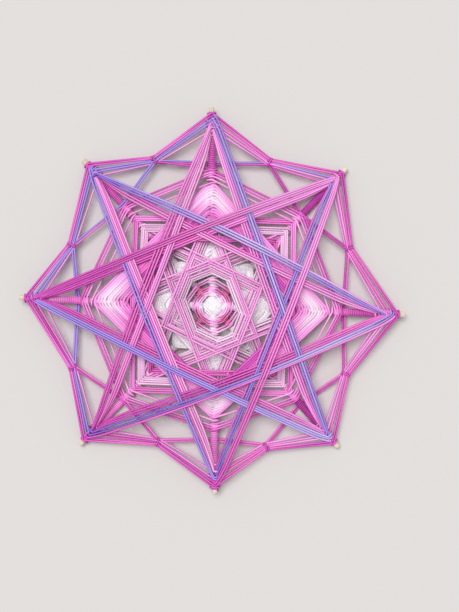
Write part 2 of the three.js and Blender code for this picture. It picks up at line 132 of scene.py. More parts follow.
# %% The pile
CELL = 0.25
PLAN_HALF = 124.0
YARN_RADIUS = 0.58
SQUASH = 0.54
PRESSED_HALF = 0.35
PRESSED_ROWS = 5
FINE_STEP = 0.12
SHELF = 2.2
SHELF_ROWS = 71
EMPTY = -9.0
pile = np.full((int(2 * PLAN_HALF / CELL) + 1,) * 2, EMPTY)


def cells_at(plan):
    """Row and column of the cells under plan points: moved to the map's corner, over the cell size."""
    index = np.rint((plan + PLAN_HALF) / CELL).astype(int)
    index = np.clip(index, 0, len(pile) - 1)
    return index[..., 1], index[..., 0]


def spread(plan, normal, half, count):
    """Each plan point repeated across its yarn: the point plus the normal times offsets up to the half."""
    offsets = np.linspace(-half, half, count)
    return plan[:, None, :] + normal[:, None, :] * offsets[None, :, None], offsets


def press(plan, normal, height):
    """Raises the pile to a yarn's top: its height plus a flattened round profile across its width."""
    points, offsets = spread(plan, normal, PRESSED_HALF, PRESSED_ROWS)
    profile = SQUASH * np.sqrt(1 - (offsets / YARN_RADIUS) ** 2)
    np.maximum.at(pile, cells_at(points), height[:, None] + profile[None, :])


def press_round(arm, inner, outer, radius):
    """Raises the pile to a lying cylinder on an arm: the axis height plus the circle's height across it,
    and just the axis height on a narrow shelf along both sides, where turns of yarn will lie."""
    along = np.arange(inner, outer, FINE_STEP)
    plan = arm["start"] + along[:, None] * arm["along"]
    normal = np.broadcast_to(arm["side"], plan.shape)
    points, offsets = spread(plan, normal, radius + SHELF, SHELF_ROWS)
    profile = np.sqrt(np.maximum(radius ** 2 - offsets ** 2, 0.0))
    np.maximum.at(pile, cells_at(points), np.broadcast_to(arm["height"] + profile, points.shape[:2]))


for arm in arms.values():
    press_round(arm, 0.0, arm["reach"], STICK_RADIUS)
print("pile cells:", pile.size, "top in mm:", round(pile.max(), 2))

# %% [markdown]
# A yarn pulled tight from arm to arm runs straight in plan and rides over the high spots, touching only
# the ones that stick out: the upper hull of the heights below it. From each corner of the hull the next
# one is where the slope is steepest, so a few steps along the strand find it.

# %% Tight spans
STEP = 0.4
FEWEST_POINTS = 6
SOFT_POINTS = 5
rng = np.random.default_rng(8)


def tight(distance, need):
    """Upper hull of the heights to clear, joined by straight lines."""
    corners = [0]
    while corners[-1] < len(need) - 1:
        here = corners[-1]
        slope = (need[here + 1:] - need[here]) / (distance[here + 1:] - distance[here])
        corners.append(here + 1 + int(np.argmax(slope)))
    return np.interp(distance, distance[corners], need[corners])


def softened(values, width):
    """Running mean over a few neighbours, with the ends kept: it rounds the corners as a yarn does."""
    kernel = np.ones(width) / width
    padded = np.pad(values, width // 2, mode="reflect", reflect_type="odd")
    return np.convolve(padded, kernel, mode="valid")


def straight(begin, end):
    """Plan points of a straight line, one every step."""
    count = max(FEWEST_POINTS, int(np.linalg.norm(end - begin) / STEP))
    return begin + (end - begin) * np.linspace(0.0, 1.0, count)[:, None]


def unit(rows):
    """Every row divided by its length."""
    return rows / np.linalg.norm(rows, axis=1)[:, None]


def run_lengths(points):
    """How far along its path each point lies: the steps before it added up."""
    return np.concatenate([[0.0], np.cumsum(np.linalg.norm(np.diff(points, axis=0), axis=1))])


def lay(plan):
    """A yarn along plan points: lifted to the tight height over the pile, which it then raises."""
    travel = unit(np.gradient(plan, axis=0))
    normal = np.stack([-travel[:, 1], travel[:, 0]], axis=1)
    distance = run_lengths(plan)
    height = softened(tight(distance, pile[cells_at(plan)] + SQUASH), SOFT_POINTS)
    press(plan, normal, height)
    return np.column_stack([plan, height])


print("step along a strand in mm:", STEP)

# %% [markdown]
# At an arm the yarn passes over the front, goes once round the stick and travels on. Each strand is made
# from the back of one stick to the back of the next, so the half turns of neighbours meet behind the
# stick. How thick the stick already is there is kept as its girth, half a millimetre to a step.

# %% Turns round a stick
LEAD = 0.35
GIRTH_STEP = 0.5
GIRTH_GAIN = 0.1
GIRTH_LIMIT = 1.1
TURN_POINTS = 9
girth = {name: np.zeros(int(PLAN_HALF / GIRTH_STEP)) for name in arms}


def on_arm(name, radius):
    """Plan point on an arm at a distance from the crossing."""
    arm = arms[name]
    return arm["start"] + radius * arm["along"]


def round_arm(arm, place, reach, angles):
    """Points round an arm and their directions out from it. An angle is measured from the front towards the
    arm's side: its sine goes along the side and its cosine upwards, both times the reach."""
    plan = arm["start"] + place[:, None] * arm["along"] + (reach * np.sin(angles))[:, None] * arm["side"]
    points = np.column_stack([plan, arm["height"] + reach * np.cos(angles)])
    return points, np.column_stack([np.sin(angles)[:, None] * arm["side"], np.cos(angles)])


def half_turn(name, radius, front, back_angle):
    """The way from a point in front of an arm to its back. The distance from the axis closes on the stick
    and its girth with the cube of what is left of the way."""
    arm = arms[name]
    step = int(radius / GIRTH_STEP)
    back = STICK_RADIUS + girth[name][step] + YARN_RADIUS
    near = slice(step - 1, step + 2)
    girth[name][near] = np.minimum(girth[name][near] + GIRTH_GAIN, GIRTH_LIMIT)
    aside = (front[:2] - arm["start"]) @ arm["side"]
    above = front[2] - arm["height"]
    front_angle = math.atan2(aside, above)
    share = np.linspace(0.0, 1.0, TURN_POINTS)[1:]
    angles = front_angle + (back_angle - front_angle) * share
    reach = back + (math.hypot(aside, above) - back) * (1 - share) ** 3
    points, outward = round_arm(arm, radius + LEAD * angles / np.pi, reach, angles)
    points[:, 2] = np.maximum(points[:, 2], YARN_RADIUS)
    return points, outward


print("girth steps on each arm:", len(girth["north"]))

# %% [markdown]
# Where yarn climbs an arm in close turns it makes one long coil, which is a helix: the angle grows with the
# length along the stick. It hides the stick and makes it thicker for what is wound over it. A striped
# cylinder would be cheaper, but its edge would be straight where the real one is beaded.

# %% Coils
WRAP_PITCH = 1.05
WRAP_POINTS = 16
WRAP_REACH = STICK_RADIUS + 0.25 * YARN_RADIUS
WRAP_TOP = STICK_RADIUS + 1.3 * YARN_RADIUS
WRAP_GIRTH = 0.7


def even(points, outward):
    """A path of points, outward directions and shares: the share grows evenly from 0 to 1."""
    return points, np.broadcast_to(outward, points.shape), np.linspace(0.0, 1.0, len(points))


def coil(name, inner, outer):
    """A helix round an arm. Wound tight, the yarn is pressed on the stick, so its reach is the stick's
    radius and a quarter of the yarn's."""
    arm = arms[name]
    turns = (outer - inner) / WRAP_PITCH
    angles = np.linspace(0.0, 2 * np.pi * turns, int(turns * WRAP_POINTS))
    place = inner + WRAP_PITCH * angles / (2 * np.pi)
    press_round(arm, inner, outer, WRAP_TOP)
    girth[name][int(inner / GIRTH_STEP):int(outer / GIRTH_STEP)] = WRAP_GIRTH
    return even(*round_arm(arm, place, WRAP_REACH, angles))


print("turns to a centimetre:", round(10 / WRAP_PITCH, 1))

# %% [markdown]
# A strand is what lies between two arms: the visible span and half a turn at both ends. In a packed winding
# it runs square across the stick before it turns off to the next arm; that stretch is its shoulder. Near a
# crowded tip the strands are gathered, so their ends are pulled along the arm. Most points of a straight
# span are left out again, to keep the mesh light.

# %% Strands
UP = np.array([0.0, 0.0, 1.0])
BEND_POINTS = 16
GATHER_RUN = 16.0
CROWD_INSET = 10.0


def thinned(points):
    """Every fourth point of a yarn, and every second one near its ends, where it bends over a stick."""
    count = len(points)
    start = np.arange(0, min(BEND_POINTS, count), 2)
    end = np.arange(max(0, count - BEND_POINTS - 1), count, 2)
    return points[np.unique(np.concatenate([start, end, np.arange(0, count, 4), [count - 1]]))]


def joined(from_arm, from_radius, middle, to_arm, to_radius):
    """A path of points, outward directions and shares, with half a turn at both ends. The share runs from
    0 to 1 over the visible middle and stands still on the turns: the colours change where they are seen."""
    rise, rise_out = half_turn(from_arm, from_radius, middle[0], -np.pi)
    fall, fall_out = half_turn(to_arm, to_radius, middle[-1], np.pi)
    share = np.concatenate([np.zeros(len(rise)), np.linspace(0.0, 1.0, len(middle)), np.ones(len(fall))])
    outward = np.concatenate([rise_out[::-1], np.broadcast_to(UP, middle.shape), fall_out])
    return np.concatenate([rise[::-1], middle, fall]), outward, share


def crowded(name, radius, gather):
    """Where a strand catches on a crowded tip: moved by a share of the way to the place of the crowd."""
    return radius + gather * (arms[name]["reach"] - CROWD_INSET - radius)


def strand(from_arm, from_radius, to_arm, to_radius, bow=0.0, shoulder=0.0, gather=0.0):
    """One yarn from the back of an arm over its front, across, over the front of another and behind it.
    A bow is a sine; a shoulder is how far to both sides of the stick it runs square across it, with corners
    rounded over a width that grows with it; gathering pulls its ends along the arms, with the square of
    what is left of the run."""
    first_catch = crowded(from_arm, from_radius, gather)
    last_catch = crowded(to_arm, to_radius, gather)
    first_side = shoulder * arms[from_arm]["side"]
    last_side = shoulder * arms[to_arm]["side"]
    begin = on_arm(from_arm, from_radius) + first_side
    end = on_arm(to_arm, to_radius) - last_side
    plan = straight(begin, end)
    share = np.linspace(0.0, 1.0, len(plan))
    outward = begin + end - arms[from_arm]["start"] - arms[to_arm]["start"]
    plan = plan + bow * np.sin(np.pi * share)[:, None] * outward / np.linalg.norm(outward)
    length = np.linalg.norm(end - begin)
    first_pull = (first_catch - from_radius) * np.maximum(1 - share * length / GATHER_RUN, 0.0) ** 2
    last_pull = (last_catch - to_radius) * np.maximum(1 - (1 - share) * length / GATHER_RUN, 0.0) ** 2
    plan = plan + first_pull[:, None] * arms[from_arm]["along"] + last_pull[:, None] * arms[to_arm]["along"]
    if shoulder:
        first = straight(plan[0] - 2 * first_side, plan[0])[:-1]
        last = straight(plan[-1], plan[-1] + 2 * last_side)[1:]
        corners = np.concatenate([first, plan, last])
        width = 2 * int(2 * shoulder) + 3
        plan = np.column_stack([softened(corners[:, 0], width), softened(corners[:, 1], width)])
    return joined(from_arm, first_catch, thinned(lay(plan)), to_arm, last_catch)


print("strands gather over mm:", GATHER_RUN)

# %% [markdown]
# The yarn is dyed in long stretches, so its colour drifts from white through pink and magenta to violet.
# The colours are written as sRGB hex and turned to linear light in one place. Each strand gets its own
# stops along its length and a slight lightness of its own, stored on its points: one material then serves
# all the yarn, and a colour change can happen in the middle of a strand.

# %% Yarn colours
YARN_COLOURS = {
    "white": "#fdfbfe",
    "milk": "#fde4f8",
    "pale": "#ffd4f6",
    "blush": "#ffc0ec",
    "pink": "#ffabf0",
    "deep": "#f989dd",
    "rose": "#ef8abf",
    "magenta": "#e564ce",
    # A magenta darkened as painted shade, for the wraps on the northeast and southeast arms.
    "painted_shade_magenta": "#d04fb9",
    "lilac": "#d9c8fc",
    "violet": "#b99df0",
    "iris": "#9b72dd",
}


def linear(colour):
    """sRGB hex to linear light: the low end divided, the rest raised to the power 2.4."""
    value = np.array([int(colour[k:k + 2], 16) for k in (1, 3, 5)]) / 255
    return np.where(value <= 0.04045, value / 12.92, ((value + 0.055) / 1.055) ** 2.4)


DYE = {name: linear(colour) for name, colour in YARN_COLOURS.items()}
LONG_DRIFT = 0.05
LONG_WAVES = 9.0
SHORT_DRIFT = 0.03
SHORT_WAVES = 23.0
FULL_TURN = 6.28
STRAND_SPREAD = 0.045


def dyed(path, stops):
    """A path with colours: the stops spread evenly over its shares, times a lightness that drifts as the
    sum of a long and a short sine and has a level of its own."""
    points, outward, share = path
    places = np.linspace(0.0, 1.0, len(stops)) if len(stops) > 1 else np.array([0.0])
    stop_colours = np.array([DYE[name] for name in stops])
    colour = np.stack([np.interp(share, places, stop_colours[:, k]) for k in range(3)], axis=1)
    phase = rng.uniform(0.0, FULL_TURN, 2)
    drift = LONG_DRIFT * np.sin(share * LONG_WAVES + phase[0])
    drift = drift + SHORT_DRIFT * np.sin(share * SHORT_WAVES + phase[1])
    return points, outward, colour * (1.0 + drift + rng.normal(0.0, STRAND_SPREAD))[:, None]


print("dyes:", ", ".join(DYE))

# %% [markdown]
# A yarn is a round profile carried along its path. The ring's two axes are the side, which is the travel
# crossed with the outward direction, and the upright of both. Because the outward direction is known at
# every point, the rings never twist and all of them are worked out at once.

# %% Rings and skin
SIDES = 8
ROUND = np.linspace(0.0, 2 * np.pi, SIDES, endpoint=False)


def rings(points, outward, breadth):
    """Ring points of a yarn: the path plus the radius times the cosine along the side, made broader, and
    the sine along the upright. First each point of the path takes a quarter of both its neighbours."""
    smooth = points.copy()
    smooth[1:-1] = 0.25 * points[:-2] + 0.5 * points[1:-1] + 0.25 * points[2:]
    travel = unit(np.gradient(smooth, axis=0))
    side = unit(np.cross(travel, outward))
    upright = np.cross(side, travel)
    circle = breadth * np.cos(ROUND)[None, :, None] * side[:, None, :]
    circle = circle + np.sin(ROUND)[None, :, None] * upright[:, None, :]
    return smooth[:, None, :] + YARN_RADIUS * circle, run_lengths(smooth)


def skin(count, first):
    """Corner numbers of a yarn's quads and of its two end caps, with the first point's number added."""
    row = np.arange(count - 1)[:, None] * SIDES
    here = row + np.arange(SIDES)[None, :]
    there = row + (np.arange(SIDES)[None, :] + 1) % SIDES
    quads = np.stack([here, here + SIDES, there + SIDES, there], axis=-1).reshape(-1, 4) + first
    start_cap = np.arange(SIDES) + first
    end_cap = np.arange(SIDES)[::-1] + first + (count - 1) * SIDES
    return quads, start_cap, end_cap


def skin_marks(length):
    """Corner marks of the quads: millimetres along the yarn and the share of the way round it."""
    along = np.stack([length[:-1], length[1:], length[1:], length[:-1]], axis=-1)
    around = np.arange(SIDES)[:, None] / SIDES + np.array([0.0, 0.0, 1.0, 1.0]) / SIDES
    along = np.broadcast_to(along[:, None, :], (len(length) - 1, SIDES, 4))
    around = np.broadcast_to(around[None, :, :], along.shape)
    return np.stack([along, around], axis=-1).reshape(-1, 2)


print("corners in a ring:", SIDES)

# %% [markdown]
# The strands of one winding make one piece. The mesh carries two marks for the twist of the yarn, its
# length and the way round it, and a colour on every point. An object for each strand would look the same,
# but hundreds of them would be slow to handle.

# %% From strands to a piece
MARK_SHIFT = 5.0


def build_yarn(name, strands, material, node, breadth=1.0):
    """Joins many strands into one piece, with marks for the twist and a colour on every point. Packed yarn
    is pressed flat, so its breadth is more than its thickness."""
    corners, quads, caps, marks, colours = [], [], [], [], []
    first = 0
    for points, outward, colour in strands:
        ring, length = rings(points, outward, breadth)
        some_quads, start_cap, end_cap = skin(len(points), first)
        corners.append(ring.reshape(-1, 3) * MM)
        quads.append(some_quads)
        caps += [start_cap, end_cap]
        marks.append(skin_marks(length + rng.uniform(0.0, MARK_SHIFT)))
        colours.append(np.repeat(colour, SIDES, axis=0))
        first += len(points) * SIDES
    mesh = bpy.data.meshes.new(name)
    mesh.from_pydata(np.concatenate(corners), [], np.concatenate(quads).tolist() + np.array(caps).tolist())
    uv = mesh.uv_layers.new(name="along_and_round")
    cap_marks = np.zeros((len(caps) * SIDES, 2))
    uv.data.foreach_set("uv", np.concatenate(marks + [cap_marks]).ravel())
    paint = mesh.color_attributes.new("yarn_colour", "FLOAT_COLOR", "POINT")
    rgba = np.ones((first, 4))
    rgba[:, :3] = np.concatenate(colours)
    paint.data.foreach_set("color", rgba.ravel())
    mesh.polygons.foreach_set("use_smooth", np.ones(len(mesh.polygons), bool))
    mesh.materials.append(material)
    mesh.update()
    piece = add_object(name, mesh)
    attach(piece, "root")
    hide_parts(node)
    print(name, "strands:", len(strands), "triangles:", sum(len(p.vertices) - 2 for p in mesh.polygons))


# %% [markdown]
# A material is a tree of nodes. One function adds a node, sets it and links it, so that each line of a
# material reads as one step.

# %% Nodes
MATH = "ShaderNodeMath"
VECTOR_MATH = "ShaderNodeVectorMath"
RANGE = "ShaderNodeMapRange"
SURFACE = "ShaderNodeBsdfPrincipled"


def add_node(tree, kind, settings=None, inputs=None):
    """Adds a node, sets its properties and fills its inputs with values or with links to outputs."""
    node = tree.nodes.new(kind)
    for key, value in (settings or {}).items():
        setattr(node, key, value)
    for key, value in (inputs or {}).items():
        if isinstance(value, bpy.types.NodeSocket):
            tree.links.new(value, node.inputs[key])
        else:
            node.inputs[key].default_value = value
    return node


def empty_material(name):
    """A material with a node tree that holds nothing but its output."""
    material = bpy.data.materials.new(name)
    material.use_nodes = True
    material.node_tree.nodes.clear()
    output = add_node(material.node_tree, "ShaderNodeOutputMaterial")
    return material, material.node_tree, output


# %% [markdown]
# The yarn is a smooth acrylic of three plies, spun round with a soft sheen. What the eye gets from it is a
# rope-like row of slanting grooves, fine fibres along the plies and an edge that turns light. The twist is
# too fine to see at this size if drawn true, so one groove comes every 1.8 mm; the grooves are bumps, with
# painted shade darkening the colour in them. The flanks, which face the next yarn, lie in its shade, and
# that shade is painted into the colour: that line is what tells one yarn of a band from the next. The
# painted shade makes a dye fuller as well as darker. Light passes through white yarn, so both are weaker
# there.

# %% Yarn material
GROOVE_SPACING = 1.8
PLIES = 3
FLANK_SHADE = 0.66
SHADE_POWER = 1.2
SHADE_LOSS = 0.6
FIBRE_STRETCH = (0.9, 14.0, 1.0)
FIBRE_RELIEF = 0.35
PLY_DEPTH = 0.18


def plied_yarn(name):
    """Grooves are a sine of the length along the yarn plus the way round it, so they slant like plies. The
    dimness is one less the product of the painted groove shade, the fibre fleck and the painted flank
    shade.
    The dye is raised to one plus a multiple of it, then scaled by one less another multiple, so the painted
    shade is fuller as well as darker."""
    material, tree, output = empty_material(name)
    dye = add_node(tree, "ShaderNodeAttribute", {"attribute_name": "yarn_colour"}).outputs["Color"]
    marks = add_node(tree, "ShaderNodeUVMap", {"uv_map": "along_and_round"}).outputs[0]
    parts = add_node(tree, "ShaderNodeSeparateXYZ", None, {0: marks}).outputs
    along = add_node(tree, MATH, {"operation": "MULTIPLY"}, {0: parts[0], 1: 2 * math.pi / GROOVE_SPACING})
    around = add_node(tree, MATH, {"operation": "MULTIPLY"}, {0: parts[1], 1: 2 * math.pi * PLIES})
    phase = add_node(tree, MATH, {"operation": "ADD"}, {0: along.outputs[0], 1: around.outputs[0]})
    wave = add_node(tree, MATH, {"operation": "SINE"}, {0: phase.outputs[0]})
    ply = add_node(tree, RANGE, None, {0: wave.outputs[0], 1: -1.0, 2: 1.0, 3: 0.0, 4: 1.0})
    stretch = add_node(tree, VECTOR_MATH, {"operation": "MULTIPLY"}, {0: marks, 1: FIBRE_STRETCH})
    fibre = add_node(tree, "ShaderNodeTexNoise", {"noise_dimensions": "2D"},
                     {"Vector": stretch.outputs[0], "Scale": 1.0, "Detail": 2.0})
    # Painted shade: the colour darkens in the ply grooves. The fleck below is the fibres' own tone.
    groove = add_node(tree, RANGE, None, {0: ply.outputs[0], 1: 0.0, 2: 0.6, 3: 0.92, 4: 1.02})
    fleck = add_node(tree, RANGE, None, {0: fibre.outputs[0], 1: 0.25, 2: 0.75, 3: 0.9, 4: 1.08})
    turn = add_node(tree, MATH, {"operation": "MULTIPLY"}, {0: parts[1], 1: 2 * math.pi})
    facing = add_node(tree, MATH, {"operation": "SINE"}, {0: turn.outputs[0]})
    open_side = add_node(tree, MATH, {"operation": "ABSOLUTE"}, {0: facing.outputs[0]})
    # Painted shade on both flanks of a yarn, where it faces the next one.
    flank = add_node(tree, RANGE, {"interpolation_type": "SMOOTHSTEP"},
                     {0: open_side.outputs[0], 1: 0.5, 2: 1.0, 3: FLANK_SHADE, 4: 0.0})
    flank = add_node(tree, MATH, {"operation": "SUBTRACT"}, {0: 1.0, 1: flank.outputs[0]})
    lit = add_node(tree, MATH, {"operation": "MULTIPLY"}, {0: groove.outputs[0], 1: fleck.outputs[0]})
    lit = add_node(tree, MATH, {"operation": "MULTIPLY"}, {0: lit.outputs[0], 1: flank.outputs[0]})
    loss = add_node(tree, MATH, {"operation": "SUBTRACT"}, {0: 1.0, 1: lit.outputs[0]})
    bands = add_node(tree, "ShaderNodeSeparateColor", None, {0: dye})
    # Paler dyes take less of the painted shade; the painted shade raises the dye to a power and lowers its
    # level.
    depth = add_node(tree, RANGE, None, {0: bands.outputs["Green"], 1: 0.1, 2: 0.97, 3: 1.0, 4: 0.1})
    dim = add_node(tree, MATH, {"operation": "MULTIPLY"}, {0: loss.outputs[0], 1: depth.outputs[0]})
    power = add_node(tree, MATH, {"operation": "MULTIPLY_ADD"}, {0: dim.outputs[0], 1: SHADE_POWER, 2: 1.0})
    level = add_node(tree, MATH, {"operation": "MULTIPLY_ADD"}, {0: dim.outputs[0], 1: -SHADE_LOSS, 2: 1.0})
    rich = add_node(tree, "ShaderNodeGamma", None, {0: dye, 1: power.outputs[0]})
    colour = add_node(tree, VECTOR_MATH, {"operation": "SCALE"},
                      {0: rich.outputs[0], "Scale": level.outputs[0]})
    relief = add_node(tree, MATH, {"operation": "MULTIPLY_ADD"},
                      {0: fibre.outputs[0], 1: FIBRE_RELIEF, 2: ply.outputs[0]})
    bump = add_node(tree, "ShaderNodeBump", None,
                    {"Strength": 0.55, "Distance": PLY_DEPTH * MM, "Height": relief.outputs[0]})
    surface = add_node(tree, SURFACE, None, {"Base Color": colour.outputs[0], "Normal": bump.outputs[0]})
    surface.inputs["Roughness"].default_value = 0.62
    surface.inputs["Specular IOR Level"].default_value = 0.3
    surface.inputs["Sheen Weight"].default_value = 0.15
    surface.inputs["Sheen Roughness"].default_value = 0.45
    tree.links.new(surface.outputs[0], output.inputs[0])
    return material


yarn = plied_yarn("three_ply_acrylic_yarn")
print("material:", yarn.name)

# %% [markdown]
# Most windings are spirals: the yarn goes from arm to arm and lies a little further out each time it comes
# round. A spiral is given by the arms that it uses, where it starts and stops on each of them, and one row
# of colours for every round.

# %% Spirals
WOBBLE = 0.1


def spiral(names, inner, outer, rounds, to_and_fro=False, shoulder=0.0):
    """Strands from arm to arm; the distance on each arm grows evenly from inner to outer over the rounds.
    To and fro, the colours of every second strand run backwards, so that each arm keeps its own."""
    steps = len(rounds) * len(names)
    strands = []
    for step in range(steps):
        here = names[step % len(names)]
        there = names[(step + 1) % len(names)]
        place = inner[here] + (outer[here] - inner[here]) * step / steps
        next_place = inner[there] + (outer[there] - inner[there]) * (step + 1) / steps
        jitter = rng.normal(0.0, WOBBLE, 2)
        begin = place + LEAD + jitter[0]
        end = next_place - LEAD + jitter[1]
        path = strand(here, begin, there, end, 0.0, shoulder)
        stops = rounds[step // len(names)]
        stops = stops[::-1] if to_and_fro and step % 2 else stops
        strands.append(dyed(path, stops))
    return strands


def same(names, value):
    """The same distance from the crossing on each arm."""
    return {name: value for name in names}


def from_tip(name, inset):
    """A distance from the crossing, measured back from an arm's own tip."""
    return arms[name]["reach"] - inset


def from_tips(names, inset):
    """The same inset from the tip of each arm."""
    return {name: from_tip(name, inset) for name in names}


print("wobble of a hand in mm:", WOBBLE)

# %% [markdown]
# The eye is white. Yarn crosses the middle both ways to bind the sticks, nine strands each way, and they
# make a small round button. A flat disc would miss the fine lines that cross in it.

# %% Centre eye
EYE_RADIUS = 5.4
EYE_BASE = 0.4
EYE_RISE = 2.9
EYE_BREADTH = 1.3
UNDER_LAYER = -0.7
LASHING_POINTS = 15
LASHING_OFFSETS = np.linspace(-4.9, 4.9, 9)
LASHING_WOBBLE = 0.06


def lashing(direction, offset, lift):
    """One yarn over the crossing: a chord of the round button, raised like a dome."""
    normal = np.array([-direction[1], direction[0]])
    half = math.sqrt(EYE_RADIUS ** 2 - offset ** 2)
    along = half * np.sin(np.linspace(-np.pi / 2, np.pi / 2, LASHING_POINTS))
    plan = arms["north"]["start"] + along[:, None] * direction + offset * normal
    share = np.clip(1 - (along ** 2 + offset ** 2) / EYE_RADIUS ** 2, 0.0, 1.0)
    height = arms["north"]["height"] + EYE_BASE + lift + EYE_RISE * np.sqrt(share)
    press(plan, np.broadcast_to(normal, plan.shape), height)
    return even(np.column_stack([plan, height]), UP)


eye = []
for angle, lift in ((45.0, UNDER_LAYER), (135.0, 0.0)):
    for offset in LASHING_OFFSETS:
        moved = offset + rng.normal(0.0, LASHING_WOBBLE)
        eye.append(dyed(lashing(heading(angle), moved, lift), ["white"]))
build_yarn("centre_eye_yarn", eye, yarn, "centre_eye", EYE_BREADTH)

# %% [markdown]
# Round the eye lies a ring of eight-sided turns. The yarn is pale where it climbs the upright arms and deep
# rose where it crosses the diagonal ones. Close turns round each arm come first and make the ridges on
# which the rounds rest. On the upright arms they are white and run on beyond the ring.

# %% Rose ring
def eight(upright, diagonal):
    """A distance for the upright arms and another for the diagonal ones."""
    return {**same(UPRIGHT, upright), **same(DIAGONAL, diagonal)}


RIDGE_START = 4.4
RIDGE_ENDS = {"north": 16.6, "east": 14.4, "south": 19.0, "west": 17.0, **same(DIAGONAL, 12.6)}
ROSE_START = eight(6.0, 5.9)
ROSE_MIDDLE = eight(8.6, 8.4)
ROSE_END = eight(11.6, 11.0)
ROSE_SHOULDER = 1.5
rose = []
for name in CLOCKWISE:
    colour = "white" if name in UPRIGHT else "rose"
    rose.append(dyed(coil(name, RIDGE_START, RIDGE_ENDS[name]), [colour]))
inner_rounds = [["white", "pale", "pale"], ["pale", "pale", "pink"]]
outer_rounds = [["pale", "pink", "rose", "rose"], ["pale", "deep", "rose", "rose"]]
rose += spiral(CLOCKWISE, ROSE_START, ROSE_MIDDLE, inner_rounds, True, ROSE_SHOULDER)
rose += spiral(CLOCKWISE, ROSE_MIDDLE, ROSE_END, outer_rounds, True, ROSE_SHOULDER)
build_yarn("rose_ring_yarn", rose, yarn, "rose_ring")

# %% [markdown]
# The two white squares come next: one on the diagonal arms, then the centre web's open turns on all eight,
# and a second white square on the upright arms. Close rounds make the solid white corners, and turns round
# the arms cover the sticks between them and the windings inside and outside.

# %% White squares and centre web
WHITE_BREADTH = 1.6
OPEN_SHOULDER = 1.2
WHITE_SHOULDER = 1.6
INNER_RIDGE = (15.8, 22.4)
OUTER_RIDGE = (32.2, 48.4)
white_diagonal = []
for name in DIAGONAL:
    white_diagonal.append(dyed(coil(name, *INNER_RIDGE), ["white"]))
    white_diagonal.append(dyed(coil(name, *OUTER_RIDGE), ["white", "pale"]))
white_start = same(DIAGONAL, 22.8)
white_end = same(DIAGONAL, 32.0)
white_diagonal += spiral(DIAGONAL, white_start, white_end, [["white"]] * 7, False, OPEN_SHOULDER)
build_yarn("white_diagonal_square_yarn", white_diagonal, yarn, "white_diagonal_square",
           WHITE_BREADTH)
web_rounds = [["pale", "pink", "rose"], ["pale", "pale", "pink"]]
web_start = eight(13.2, 12.4)
web_end = eight(16.8, 15.6)
web = spiral(CLOCKWISE, web_start, web_end, web_rounds, True, OPEN_SHOULDER)
build_yarn("centre_web_yarn", web, yarn, "centre_web")
white_inner = {"north": 23.4, "east": 22.0, "south": 24.2, "west": 22.2}
white_outer = {"north": 36.5, "east": 34.0, "south": 37.8, "west": 35.0}
KITE_INSETS = {"north": 62.5, "east": 62.2, "south": 60.5, "west": 63.8}
KITE_CLEAR = 0.2
kite_inner = {name: from_tip(name, inset) for name, inset in KITE_INSETS.items()}
white_upright = []
for name in UPRIGHT:
    ridge = coil(name, white_outer[name], kite_inner[name] - KITE_CLEAR)
    white_upright.append(dyed(ridge, ["white", "pale"]))
white_upright += spiral(UPRIGHT, white_inner, white_outer, [["white"]] * 11, False, WHITE_SHOULDER)
build_yarn("white_upright_square_yarn", white_upright, yarn, "white_upright_square",
           WHITE_BREADTH)

# %% [markdown]
# The small star skips two arms and catches on the third. Each of its spans has six strands: three paler
# ones on the inside and three pinker ones on the outside. The two groups say how far out the span that
# starts on each arm begins. A strand catches at nearly the same distance on both its arms.

# %% Small star
STAR_ORDER = ["north", "southeast", "west", "northeast", "south", "northwest", "east", "southwest"]
STAR_PITCH = 3.3
STAR_JITTER = 0.8
PALE_GROUP = {"north": 36.0, "southeast": 39.4, "west": 42.6, "northeast": 41.2,
             "south": 38.6, "northwest": 42.6, "east": 45.2, "southwest": 43.5}
PINK_GROUP = {"north": 43.4, "southeast": 50.6, "west": 52.4, "northeast": 50.8,
             "south": 47.5, "northwest": 52.4, "east": 55.2, "southwest": 53.6}


def third_on(name):
    """The arm on which a star strand catches next."""
    return STAR_ORDER[(STAR_ORDER.index(name) + 1) % len(STAR_ORDER)]


PALE_DYES = [["milk", "pale"], ["white", "milk", "pale"], ["pink", "blush"]]
PINK_DYES = [["milk", "blush"], ["pink"], ["blush", "pink"]]
small_star = []
for group, dyes in ((PALE_GROUP, PALE_DYES), (PINK_GROUP, PINK_DYES)):
    for number, dye in enumerate(dyes):
        for name in STAR_ORDER:
            begin, end = group[name] + STAR_PITCH * number + rng.normal(0.0, STAR_JITTER, 2)
            small_star.append(dyed(strand(name, begin, third_on(name), end), dye))
build_yarn("small_star_yarn", small_star, yarn, "small_star")

# %% [markdown]
# On the diagonal arms a square is wound in three groups: deep pink, pale, and pink to deep pink. A few
# turns round each arm keep the gaps between them open.

# %% Diagonal squares
SQUARE_GROUPS = {
    "inner": (49.0, 53.6, [["deep"]] * 3, "magenta_yarn"),
    "middle": (55.8, 62.4, [["pale"]] * 4, "pale_yarn"),
    "outer": (64.4, 69.0, [["pink", "deep"]] * 3, "pink_yarn"),
}
SPACERS = {"inner": [(53.4, 55.9, "pale")], "middle": [(62.2, 64.5, "pink")], "outer": []}
for group, (start, stop, rounds, slot) in SQUARE_GROUPS.items():
    square = []
    for first, last, dye in SPACERS[group]:
        square += [dyed(coil(name, first, last), [dye]) for name in DIAGONAL]
    square += spiral(DIAGONAL, same(DIAGONAL, start), same(DIAGONAL, stop), rounds)
    build_yarn(f"diagonal_square_{group}_yarn", square, yarn, f"diagonal_square_{group}")
